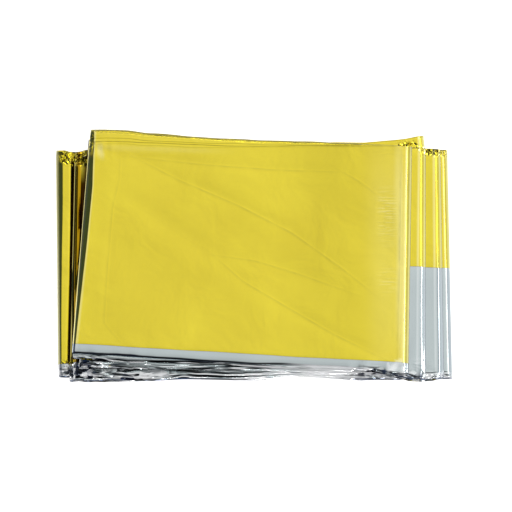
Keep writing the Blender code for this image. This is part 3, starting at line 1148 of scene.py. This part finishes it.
# %% A small kit for finishes
class Finish:
    """A material whose nodes are added one at a time."""

    def __init__(self, name):
        self.material = bpy.data.materials.new(name)
        self.material.use_nodes = True
        self.nodes = self.material.node_tree.nodes
        self.links = self.material.node_tree.links
        self.shader = self.nodes["Principled BSDF"]

    def feed(self, socket, value):
        """Gives a socket a plain number or an output."""
        if isinstance(value, (int, float)):
            socket.default_value = value
        else:
            self.links.new(value, socket)

    def math(self, operation, *values):
        node = self.nodes.new("ShaderNodeMath")
        node.operation = operation
        for socket, value in zip(node.inputs, values):
            self.feed(socket, value)
        return node.outputs[0]

    def attribute(self, name, output):
        node = self.nodes.new("ShaderNodeAttribute")
        node.attribute_name = name
        return node.outputs[output]

    def scaled(self, source, scale):
        """Coordinates multiplied along X, Y and Z, so that a pattern on them shrinks."""
        node = self.nodes.new("ShaderNodeMapping")
        node.inputs["Scale"].default_value = scale
        self.links.new(source, node.inputs["Vector"])
        return node.outputs[0]

    def noise(self, source, scale, detail=2.0, distortion=0.0):
        node = self.nodes.new("ShaderNodeTexNoise")
        self.links.new(source, node.inputs["Vector"])
        node.inputs["Scale"].default_value = scale
        node.inputs["Detail"].default_value = detail
        node.inputs["Distortion"].default_value = distortion
        return node.outputs["Fac"]

    def facets(self, source, scale):
        """The distance to the nearest edge between two cells."""
        node = self.nodes.new("ShaderNodeTexVoronoi")
        node.feature = "DISTANCE_TO_EDGE"
        self.links.new(source, node.inputs["Vector"])
        node.inputs["Scale"].default_value = scale
        return node.outputs["Distance"]

    def cells(self, source, scale):
        """A value that is even over each cell and different in the next one."""
        node = self.nodes.new("ShaderNodeTexVoronoi")
        self.links.new(source, node.inputs["Vector"])
        node.inputs["Scale"].default_value = scale
        return node.outputs["Color"]

    def ramp(self, source, stops):
        """A colour ramp with these places and colours."""
        node = self.nodes.new("ShaderNodeValToRGB")
        self.links.new(source, node.inputs["Fac"])
        for number, (place, colour) in enumerate(stops):
            if number > 1:
                node.color_ramp.elements.new(place)
            stop = node.color_ramp.elements[number]
            stop.position = place
            stop.color = (*colour, 1)
        return node.outputs["Color"]

    def mixed(self, factor, *colours):
        """The first colour where the factor is 0, and the second where it is 1."""
        node = self.nodes.new("ShaderNodeMix")
        node.data_type = "RGBA"
        self.links.new(factor, node.inputs["Factor"])
        for socket, colour in zip((node.inputs[6], node.inputs[7]), colours):
            if isinstance(colour, tuple):
                socket.default_value = (*colour, 1)
            else:
                self.links.new(colour, socket)
        return node.outputs[2]

    def sides(self, vector):
        """The three parts of a vector."""
        node = self.nodes.new("ShaderNodeSeparateXYZ")
        self.links.new(vector, node.inputs[0])
        return node.outputs

    def between(self, value, low, high, to_low, to_high):
        """A soft step from one value at low to the other at high."""
        node = self.nodes.new("ShaderNodeMapRange")
        node.interpolation_type = "SMOOTHSTEP"
        self.links.new(value, node.inputs["Value"])
        limits = {"From Min": low, "From Max": high, "To Min": to_low, "To Max": to_high}
        for name, number in limits.items():
            node.inputs[name].default_value = number
        return node.outputs["Result"]


print("Kit:", [name for name in vars(Finish) if not name.startswith("_")])

# %% [markdown]
# ## Streaks of light and dark
#
# Each thin nose of the lower folds mirrors the bright floor on one side and the dark room on
# the other. A sine wave of the distance from the fold draws that, pushed about by a noise that is
# stretched along the strip, so the streaks run, swell and break as the folds do. They turn from
# mostly dark at the left to mostly light at the right.

# %% Streaks of light and dark
STREAK_PITCH = 1.5
STREAK_SWING = 2.8
SWING_SCALE = (42, 10, 260)
GAP_SCALE = (110, 500, 500)
GAPS = (0.36, 0.50, 0.15, 1.0)
DARK_WAVE = (0.08, 0.28)
LIGHT_WAVE = (-0.05, -0.32)
TURN_X = (-0.020, 0.012)
WEAKER_X = (-0.010, 0.025)
DARKER_LEFT = 0.50
LIGHTER_RIGHT = 0.75
DARK_AT_RIGHT = 0.40


def streak_tones(finish, place):
    """Where the lower folds are dark and where they are light."""
    swing_noise = finish.noise(finish.scaled(place, SWING_SCALE), 1.0)
    steps = finish.math("MULTIPLY", finish.attribute("from_foot", "Fac"), 1 / STREAK_PITCH)
    phase = finish.math("ADD", steps, finish.math("MULTIPLY", swing_noise, STREAK_SWING))
    wave = finish.math("SINE", finish.math("MULTIPLY", phase, 2 * np.pi))
    along = finish.sides(place)["X"]
    tilt = finish.between(along, *TURN_X, DARKER_LEFT, -LIGHTER_RIGHT)
    wave = finish.math("ADD", wave, tilt)
    gaps = finish.noise(finish.scaled(place, GAP_SCALE), 1.0)
    amount = finish.between(gaps, *GAPS)
    amount = finish.math("MULTIPLY", finish.attribute("streak", "Fac"), amount)
    weaker_right = finish.between(along, *WEAKER_X, 1.0, DARK_AT_RIGHT)
    dark = finish.math("MULTIPLY", finish.between(wave, *DARK_WAVE, 0.0, 1.0), amount)
    light = finish.math("MULTIPLY", finish.between(wave, *LIGHT_WAVE, 0.0, 1.0), amount)
    return finish.math("MULTIPLY", dark, weaker_right), light


print("One streak in", STREAK_PITCH, "mm")

# %% [markdown]
# ## Painted reflections in the groove
#
# A colour ramp of painted reflections and shade runs across the groove: gold at its rim, brown
# down its slope, olive and amber on its bed, and dark again under the top panel's fold.

# %% Tones of the groove
GROOVE_RIM = (0.045, 0.12)
GROOVE_PAINTED_REFLECTIONS = (
    (0.058, (0.750, 0.612, 0.008)),
    (0.140, (0.060, 0.024, 0.001)),
    (0.282, (0.014, 0.004, 0.0)),
    (0.300, (0.500, 0.420, 0.130)),
    (0.375, (0.400, 0.330, 0.080)),
    (0.392, (0.030, 0.015, 0.0)),
    (0.425, (0.030, 0.015, 0.0)),
    (0.445, (0.400, 0.250, 0.010)),
    (0.711, (0.400, 0.235, 0.006)),
    (0.742, (0.030, 0.012, 0.0)),
)


def recess_share(finish):
    """How far a place lies inside the groove."""
    inside = finish.between(finish.attribute("recess_x", "Fac"), *GROOVE_RIM, 0.0, 1.0)
    return finish.math("MULTIPLY", inside, finish.attribute("recessed", "Fac"))


print(len(GROOVE_PAINTED_REFLECTIONS), "tones across the groove")

# %% [markdown]
# ## Relief of creases and folds
#
# Bump stands for what is finer than the mesh. Its heights are in metres, while the attributes and
# the widths here are in millimetres. It makes the sharp line in each crease, the rounding at each
# upper fold, and the steps of the lower folds, where one layer's nose ends and the next begins.

# %% Relief of creases and folds
CREASE_WIDTH = 0.85
TOP_FOLD_WIDTH = 0.5
TOP_FOLD_DROP = 0.00009
FOOT_WOBBLE = 0.55
WOBBLE_SCALE = (60, 300, 300)
FADING_SCALE = (45, 200, 200)
FADING = (0.35, 0.6, 0.25, 1.0)
FootStep = namedtuple("FootStep", "away width height")
FOOT_STEPS = (
    FootStep(0.65, 0.36, 0.00022),
    FootStep(1.70, 0.36, 0.00022),
    FootStep(2.80, 0.34, 0.00018),
)


def along_creases(finish, width, amount):
    """An amount that is greatest in the middle of each crease and gone at this distance."""
    total = 0.0
    for number in range(len(CREASES)):
        parts = finish.sides(finish.attribute(f"crease_{number}", "Vector"))
        middle = finish.between(finish.math("ABSOLUTE", parts["X"]), 0.0, width, amount, 0.0)
        total = finish.math("ADD", finish.math("MULTIPLY", middle, parts["Y"]), total)
    return total


def fold_relief(finish, place):
    """Height in metres at the upper and lower folds."""
    from_top = finish.attribute("from_top", "Fac")
    total = finish.between(from_top, 0.0, TOP_FOLD_WIDTH, -TOP_FOLD_DROP, 0.0)
    wobble = finish.noise(finish.scaled(place, WOBBLE_SCALE), 1.0)
    wobble = finish.math("MULTIPLY", wobble, FOOT_WOBBLE)
    apart = finish.math("ADD", finish.attribute("from_foot", "Fac"), wobble)
    fading = finish.noise(finish.scaled(place, FADING_SCALE), 1.0, 1.0)
    fading = finish.between(fading, *FADING)
    fading = finish.math("MULTIPLY", fading, finish.attribute("stepped", "Fac"))
    for step in FOOT_STEPS:
        rise = finish.between(apart, step.away, step.away + step.width, -step.height, 0.0)
        total = finish.math("ADD", total, finish.math("MULTIPLY", rise, fading))
    return total


print(len(FOOT_STEPS), "steps at the lower folds")

# %% [markdown]
# ## Relief of facets, streaks and crinkles
#
# Crumpled film is made of flat facets that meet in sharp lines. A Voronoi texture's distance to
# its edges has just that shape. Stretched film gets short crinkles across the pull, and a slow
# noise gives the whole sheet its faint unevenness.

# %% Relief of facets, streaks and crinkles
FACET_SCALE = 600
FACET_STEEPNESS = 0.85
STREAK_SCALE = (45, 560, 560)
STREAK_RELIEF = 0.00012
CRINKLE_SCALE = (170, 2300, 170)
CRINKLE_RELIEF = 0.00008
CREASE_RELIEF = 0.001
WAVE_SCALE = 60


def crinkle_pattern(finish, place):
    """A noise in short thin lines along X."""
    return finish.noise(finish.scaled(place, CRINKLE_SCALE), 1.0)


def film_heights(finish, place, facet_scale, wave_height):
    """Height in metres of everything too fine for the mesh."""
    cells = finish.facets(finish.scaled(place, facet_scale), FACET_SCALE)
    crumpled = finish.attribute("crumple", "Fac")
    steep = finish.math("MULTIPLY", crumpled, FACET_STEEPNESS / FACET_SCALE)
    streaks = finish.noise(finish.scaled(place, STREAK_SCALE), 1.0, 1.0)
    streaky = finish.math("MULTIPLY", finish.attribute("streak", "Fac"), STREAK_RELIEF)
    stretched = finish.math("MULTIPLY", finish.attribute("stretch", "Fac"), CRINKLE_RELIEF)
    creases = along_creases(finish, CREASE_WIDTH, -CREASE_RELIEF)
    total = finish.math("ADD", creases, fold_relief(finish, place))
    for pattern, height in (
        (cells, steep),
        (streaks, streaky),
        (crinkle_pattern(finish, place), stretched),
        (finish.noise(place, WAVE_SCALE, 3.0, 0.6), wave_height),
    ):
        total = finish.math("ADD", total, finish.math("MULTIPLY", pattern, height))
    return total


print("A facet is about", round(1000 / FACET_SCALE, 1), "mm across")

# %% [markdown]
# ## Colours of the film
#
# Both sides are metal on clear film: a strong mirror under a clear coat that scatters the light
# a little, like a thin white veil. The colour drifts slowly between two close tones. Crumpled
# facets each mirror another part of the room, so single facets get a painted dark or bright
# reflection. Painted highlights get the pale tone, and the middle of each crease gets the
# painted shade of the shaded folds.

# %% Colours of the film
TONE_SCALE = 1500
DEEP_UP_TO = (0.34, 0.38)
LIT_FADE = 0.04
PALE_CRINKLES = (0.52, 0.60, 0.0, 0.30)
# Width and strength of the painted shade in the middle of each crease.
SHADED_LINE_WIDTH = 0.42
SHADED_LINE_SHARE = 4.6


def facet_tones(finish, metal, place):
    """How far a place lies in a facet of painted dark reflection, and how far in one of painted
    bright reflection.
    """
    tone = finish.cells(finish.scaled(place, metal.facet_scale), TONE_SCALE)
    crumpled = finish.attribute("crumple", "Fac")
    deep = finish.between(tone, *DEEP_UP_TO, 1.0, 0.0)
    lit = finish.between(tone, metal.lit_from, metal.lit_from + LIT_FADE, 0.0, 1.0)
    return finish.math("MULTIPLY", deep, crumpled), finish.math("MULTIPLY", lit, crumpled)


def painted_light_and_shade(finish, metal, place, colour):
    """The colour with painted highlights on pale ridges and stretch crinkles, and painted shade on
    crease lines and shaded folds.
    """
    # Painted highlights on the pale ridges and patches, and along the stretch crinkles.
    pale = finish.math("MULTIPLY", finish.attribute("pale", "Fac"), metal.pale_strength)
    colour = finish.mixed(pale, colour, metal.paler)
    crinkled = finish.between(crinkle_pattern(finish, place), *PALE_CRINKLES)
    crinkled = finish.math("MULTIPLY", crinkled, finish.attribute("stretch", "Fac"))
    colour = finish.mixed(crinkled, colour, metal.paler)
    # Painted shade in the middle of each crease and in the shaded folds.
    colour = finish.mixed(along_creases(finish, SHADED_LINE_WIDTH, SHADED_LINE_SHARE), colour, metal.shade)
    return finish.mixed(finish.attribute("shade", "Fac"), colour, metal.shade)


print("Facet tones change every", round(1000 / TONE_SCALE, 2), "mm")

# %% [markdown]
# ## What sets gold and silver apart
#
# Gold shows in the groove, whose painted reflections and shade come from the ramp, and its clear
# coat gives it a white veil, except where facets and the groove turn it away. Silver shows on the
# lower folds, so it takes the painted streaks. Each function gives the colour and how far its
# painted highlights dull the metal.

# %% What sets gold and silver apart
DEEP_STREAK = (0.006, 0.008, 0.009)
LIGHT_STREAK_SHINE = 0.8


def coat_where_clear(finish, metal, covered):
    """Puts the clear coat on where this value is 0 and leaves it off where it is 1."""
    clear = finish.math("SUBTRACT", 1.0, covered)
    coat = finish.math("MULTIPLY", clear, metal.coat)
    finish.links.new(coat, finish.shader.inputs["Coat Weight"])
    return clear


def gold_parts(finish, metal, place, colour):
    # Painted reflections and shade in the groove.
    tones = finish.ramp(finish.attribute("recess_x", "Fac"), GROOVE_PAINTED_REFLECTIONS)
    colour = finish.mixed(recess_share(finish), colour, tones)
    hidden = finish.math("MAXIMUM", recess_share(finish), finish.attribute("crumple", "Fac"))
    coat_where_clear(finish, metal, hidden)
    # The painted highlights dull the metal.
    return colour, finish.attribute("bright", "Fac")


def silver_parts(finish, metal, place, colour):
    dark, light = streak_tones(finish, place)
    bright = finish.attribute("bright", "Fac")
    # Painted reflections: dark streaks of the dark room, then light streaks and highlights of the
    # bright floor, which dull the metal.
    colour = finish.mixed(dark, colour, DEEP_STREAK)
    colour = finish.mixed(finish.math("MAXIMUM", light, bright), colour, metal.paler)
    clear = coat_where_clear(finish, metal, dark)
    painted_shine = finish.math("MULTIPLY", light, LIGHT_STREAK_SHINE)
    painted_shine = finish.math("MAXIMUM", painted_shine, bright)
    return colour, finish.math("MULTIPLY", painted_shine, clear)


# Light streaks are painted reflections, and lose this share of their metal.
print("Light streaks are scuffed by", LIGHT_STREAK_SHINE, "and dark ones not at all")

# %% [markdown]
# ## The two finishes
#
# Now the parts come together on the Principled shader. A painted highlight takes away some of
# the metal, so such a place scatters the light and looks pale from every side. Painted bright
# facets lose metal on the silver side only. The patterns read Object coordinates and the sheet's
# own attributes, so they stay on the film wherever it is moved.

# %% The two finishes
# deep and lit are painted dark and bright reflections of crumpled facets, paler is the tone of
# painted highlights, and shade is the tone of painted shade.
Metal = namedtuple(
    "Metal",
    "colour darker paler shade deep lit lit_from lit_scuff pale_strength roughness coat "
    "facet_scale wave_height",
)
GOLD = Metal(
    colour=(0.765, 0.625, 0.008),
    darker=(0.728, 0.586, 0.005),
    paler=(0.93, 0.87, 0.42),
    shade=(0.035, 0.052, 0.046),
    deep=(0.022, 0.009, 0.0),
    lit=(1.0, 0.82, 0.06),
    lit_from=0.60,
    lit_scuff=0.0,
    pale_strength=1.0,
    roughness=0.09,
    coat=1.0,
    facet_scale=(1, 1, 1),
    wave_height=0.00020,
)
SILVER = Metal(
    colour=(0.490, 0.550, 0.555),
    darker=(0.465, 0.524, 0.528),
    paler=(1.0, 1.0, 1.0),
    shade=(0.025, 0.045, 0.095),
    deep=(0.006, 0.010, 0.032),
    lit=(1.0, 1.0, 1.0),
    lit_from=0.52,
    lit_scuff=1.0,
    pale_strength=0.30,
    roughness=0.06,
    coat=0.15,
    facet_scale=(0.25, 0.6, 0.6),
    wave_height=0.00002,
)
CLOUD_SCALE = 30
CLOUD_ROUGHNESS = 1.35
COAT_IOR = 1.6
COAT_ROUGHNESS = 0.30
SHINE_METAL_LOSS = 0.8


def film_finish(name, metal, own_parts):
    """One side of the film, as a material."""
    finish = Finish(name)
    shader = finish.shader
    place = finish.nodes.new("ShaderNodeTexCoord").outputs["Object"]
    cloud = finish.noise(place, CLOUD_SCALE, 4.0)
    colour = finish.mixed(finish.between(cloud, 0.35, 0.65, 0.0, 1.0), metal.darker, metal.colour)
    colour, painted_shine = own_parts(finish, metal, place, colour)
    deep, lit = facet_tones(finish, metal, place)
    colour = finish.mixed(lit, finish.mixed(deep, colour, metal.deep), metal.lit)
    colour = painted_light_and_shade(finish, metal, place, colour)
    finish.links.new(colour, shader.inputs["Base Color"])
    roughest = CLOUD_ROUGHNESS * metal.roughness
    rough = finish.between(cloud, 0.3, 0.7, metal.roughness, roughest)
    finish.links.new(rough, shader.inputs["Roughness"])
    painted_shine = finish.math("MAXIMUM", painted_shine, finish.math("MULTIPLY", lit, metal.lit_scuff))
    lost = finish.math("MULTIPLY", painted_shine, SHINE_METAL_LOSS)
    finish.links.new(finish.math("SUBTRACT", 1.0, lost), shader.inputs["Metallic"])
    shader.inputs["Coat IOR"].default_value = COAT_IOR
    shader.inputs["Coat Roughness"].default_value = COAT_ROUGHNESS
    bump = finish.nodes.new("ShaderNodeBump")
    bump.inputs["Distance"].default_value = 1.0
    heights = film_heights(finish, place, metal.facet_scale, metal.wave_height)
    finish.links.new(heights, bump.inputs["Height"])
    finish.links.new(bump.outputs["Normal"], shader.inputs["Normal"])
    finish.links.new(bump.outputs["Normal"], shader.inputs["Coat Normal"])
    print(name, "has", len(finish.nodes), "nodes")
    return finish.material


film.data.materials.append(film_finish("gold_film", GOLD, gold_parts))
film.data.materials.append(film_finish("silver_film", SILVER, silver_parts))

# %% [markdown]
# ## The floor
#
# The stack lies on a plain pale floor. The floor glows a little, so it stays evenly white round
# the stack while soft shadows still show.

# %% The floor
bpy.ops.mesh.primitive_plane_add(size=30)
floor = bpy.context.object
floor.name = "floor"
floor_paint = bpy.data.materials.new("floor_paint")
floor_paint.use_nodes = True
paint = floor_paint.node_tree.nodes["Principled BSDF"]
paint.inputs["Base Color"].default_value = (0.8, 0.8, 0.8, 1)
paint.inputs["Roughness"].default_value = 0.9
paint.inputs["Emission Color"].default_value = (1, 1, 1, 1)
paint.inputs["Emission Strength"].default_value = 0.84
floor.data.materials.append(floor_paint)
print("Floor:", floor.dimensions.x, "m square")

# %% [markdown]
# ## The studio round the film
#
# A mirror shows whatever stands round it, so the studio matters more here than the film's own
# colour. The world is built from a few colour ramps on the direction of view: a bright soft
# ceiling, walls that are light at the right and dark at the left, and a pale horizon. Folds
# that face the left are dark because of that one dark wall.

# %% The studio round the film
world = bpy.data.worlds.new("studio")
bpy.context.scene.world = world
world.use_nodes = True
nodes, links = world.node_tree.nodes, world.node_tree.links
direction = nodes.new("ShaderNodeTexCoord").outputs["Generated"]
sides = nodes.new("ShaderNodeSeparateXYZ")
links.new(direction, sides.inputs[0])


def studio_ramp(source, stops):
    """A colour ramp with these places and colours, fed from that output."""
    ramp = nodes.new("ShaderNodeValToRGB")
    links.new(source, ramp.inputs["Fac"])
    for number, (place, colour) in enumerate(stops):
        if number > 1:
            ramp.color_ramp.elements.new(place)
        stop = ramp.color_ramp.elements[number]
        stop.position = place
        stop.color = (*colour, 1)
    return ramp.outputs["Color"]


def from_zero_to_one(source):
    """A direction's part, which runs from -1 to 1, moved into the reach of a ramp."""
    node = nodes.new("ShaderNodeMath")
    node.operation = "MULTIPLY_ADD"
    node.inputs[1].default_value = 0.5
    node.inputs[2].default_value = 0.5
    links.new(source, node.inputs[0])
    return node.outputs[0]


def blended(blend_type, first, second):
    """Two colours mixed in full, by LIGHTEN or by MULTIPLY."""
    mix = nodes.new("ShaderNodeMix")
    mix.data_type = "RGBA"
    mix.blend_type = blend_type
    mix.inputs["Factor"].default_value = 1.0
    links.new(first, mix.inputs[6])
    links.new(second, mix.inputs[7])
    return mix.outputs[2]


print("The world is called", world.name)

# %% [markdown]
# ## Ceiling, walls and horizon
#
# Each ramp lists places and colours. The lightest of the three wins in each direction. The
# horizon is dimmer behind the stack, and a last ramp dims all that lies in front of it.

# %% Ceiling, walls and horizon
CEILING_WAY = Vector((0.33, 0.24, 0.91)).normalized()
CEILING_STOPS = (
    (0.76, (0, 0, 0)),
    (0.83, (0.45, 0.45, 0.45)),
    (0.883, (0.80, 0.80, 0.80)),
    (0.94, (0.98, 0.98, 0.98)),
    (0.98, (1.10, 1.10, 1.10)),
)
WALL_STOPS = (
    (0.05, (0.050, 0.080, 0.20)),
    (0.38, (0.040, 0.065, 0.13)),
    (0.48, (0.016, 0.018, 0.018)),
    (0.56, (0.016, 0.018, 0.018)),
    (0.68, (0.50, 0.52, 0.55)),
    (0.785, (0.75, 0.77, 0.80)),
    (0.835, (0.95, 0.98, 1.03)),
    (0.92, (0.90, 0.93, 1.0)),
    (0.965, (0.40, 0.43, 0.50)),
)
HORIZON_STOPS = (
    (0.0, (1.0, 1.0, 1.0)),
    (0.20, (0.80, 0.80, 0.80)),
    (0.42, (0.45, 0.46, 0.47)),
    (0.66, (0, 0, 0)),
)
BEHIND_STOPS = ((0.30, (1, 1, 1)), (0.62, (0.55, 0.57, 0.58)))
LEVEL_STOPS = ((0.20, (0.50, 0.50, 0.50)), (0.604, (1, 1, 1)), (0.76, (1.14, 1.14, 1.14)))

upwards = nodes.new("ShaderNodeVectorMath")
upwards.operation = "DOT_PRODUCT"
upwards.inputs[1].default_value = CEILING_WAY
links.new(direction, upwards.inputs[0])
ceiling = studio_ramp(upwards.outputs["Value"], CEILING_STOPS)
walls = studio_ramp(from_zero_to_one(sides.outputs["X"]), WALL_STOPS)
horizon = studio_ramp(sides.outputs["Z"], HORIZON_STOPS)
behind = studio_ramp(sides.outputs["Y"], BEHIND_STOPS)
levels = studio_ramp(from_zero_to_one(sides.outputs["Y"]), LEVEL_STOPS)
above_and_beside = blended("LIGHTEN", ceiling, walls)
surroundings = blended("LIGHTEN", above_and_beside, blended("MULTIPLY", horizon, behind))
background = nodes["Background"]
links.new(blended("MULTIPLY", surroundings, levels), background.inputs["Color"])
background.inputs["Strength"].default_value = 1.0
print("The studio has", len(nodes), "nodes")

# %% [markdown]
# ## Lamps
#
# Three long narrow area lamps draw fine bright lines along the ridges of the folds, as strip
# lights do in a studio for shiny things. They are weak, because the world gives the soft light.

# %% Lamps
Lamp = namedtuple("Lamp", "name place width length up energy")
LAMPS = (
    Lamp("side_light", (0.98, 0.25, 1.20), 0.10, 2.0, "X", 5.0),
    Lamp("back_light", (0.30, 1.00, 1.40), 0.10, 2.0, "Y", 3.0),
    Lamp("front_light", (0.42, -1.30, 0.55), 0.12, 0.80, "Y", 8.0),
)
for lamp in LAMPS:
    bpy.ops.object.light_add(type="AREA", location=lamp.place)
    light = bpy.context.object
    light.name = lamp.name
    light.data.shape = "RECTANGLE"
    light.data.size = lamp.width if lamp.up == "X" else lamp.length
    light.data.size_y = lamp.length if lamp.up == "X" else lamp.width
    light.data.energy = lamp.energy
    light.rotation_euler = (-light.location).to_track_quat("-Z", lamp.up).to_euler()
print(len(LAMPS), "lamps")

# %% [markdown]
# ## The camera
#
# The camera looks down on the stack, 12 degrees off the vertical. The lens follows from the
# size that one point of the image has at the stack, so the stack fills the right share of it.

# %% The camera
IMAGE_POINTS = 512
POINT_SIZE = 0.0003865
SENSOR_WIDTH = 36
VIEW_ELEVATION = radians(78)
CAMERA_AWAY = 2.0
AIM_RIGHT = 2.5 * POINT_SIZE
AIM_LOW = 0.0017
AIM_HEIGHT = 0.008
LOOK_AT = Vector((SHIFT[0] + AIM_RIGHT, SHIFT[1] - AIM_LOW, AIM_HEIGHT))

bpy.ops.object.camera_add()
camera = bpy.context.object
camera.data.sensor_width = SENSOR_WIDTH
camera.data.lens = SENSOR_WIDTH * CAMERA_AWAY / (IMAGE_POINTS * POINT_SIZE)
camera.data.clip_start = 0.1
camera.data.clip_end = 60
away = Vector((0, -np.cos(VIEW_ELEVATION), np.sin(VIEW_ELEVATION)))
camera.location = LOOK_AT + CAMERA_AWAY * away
camera.rotation_euler = (radians(90) - VIEW_ELEVATION, 0, 0)
bpy.context.scene.camera = camera
bpy.context.scene.view_settings.view_transform = "Standard"
print("Lens:", round(camera.data.lens), "mm")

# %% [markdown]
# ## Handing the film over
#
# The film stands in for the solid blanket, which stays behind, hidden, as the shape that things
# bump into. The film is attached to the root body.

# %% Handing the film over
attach(film, "root")
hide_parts("foil_blanket")
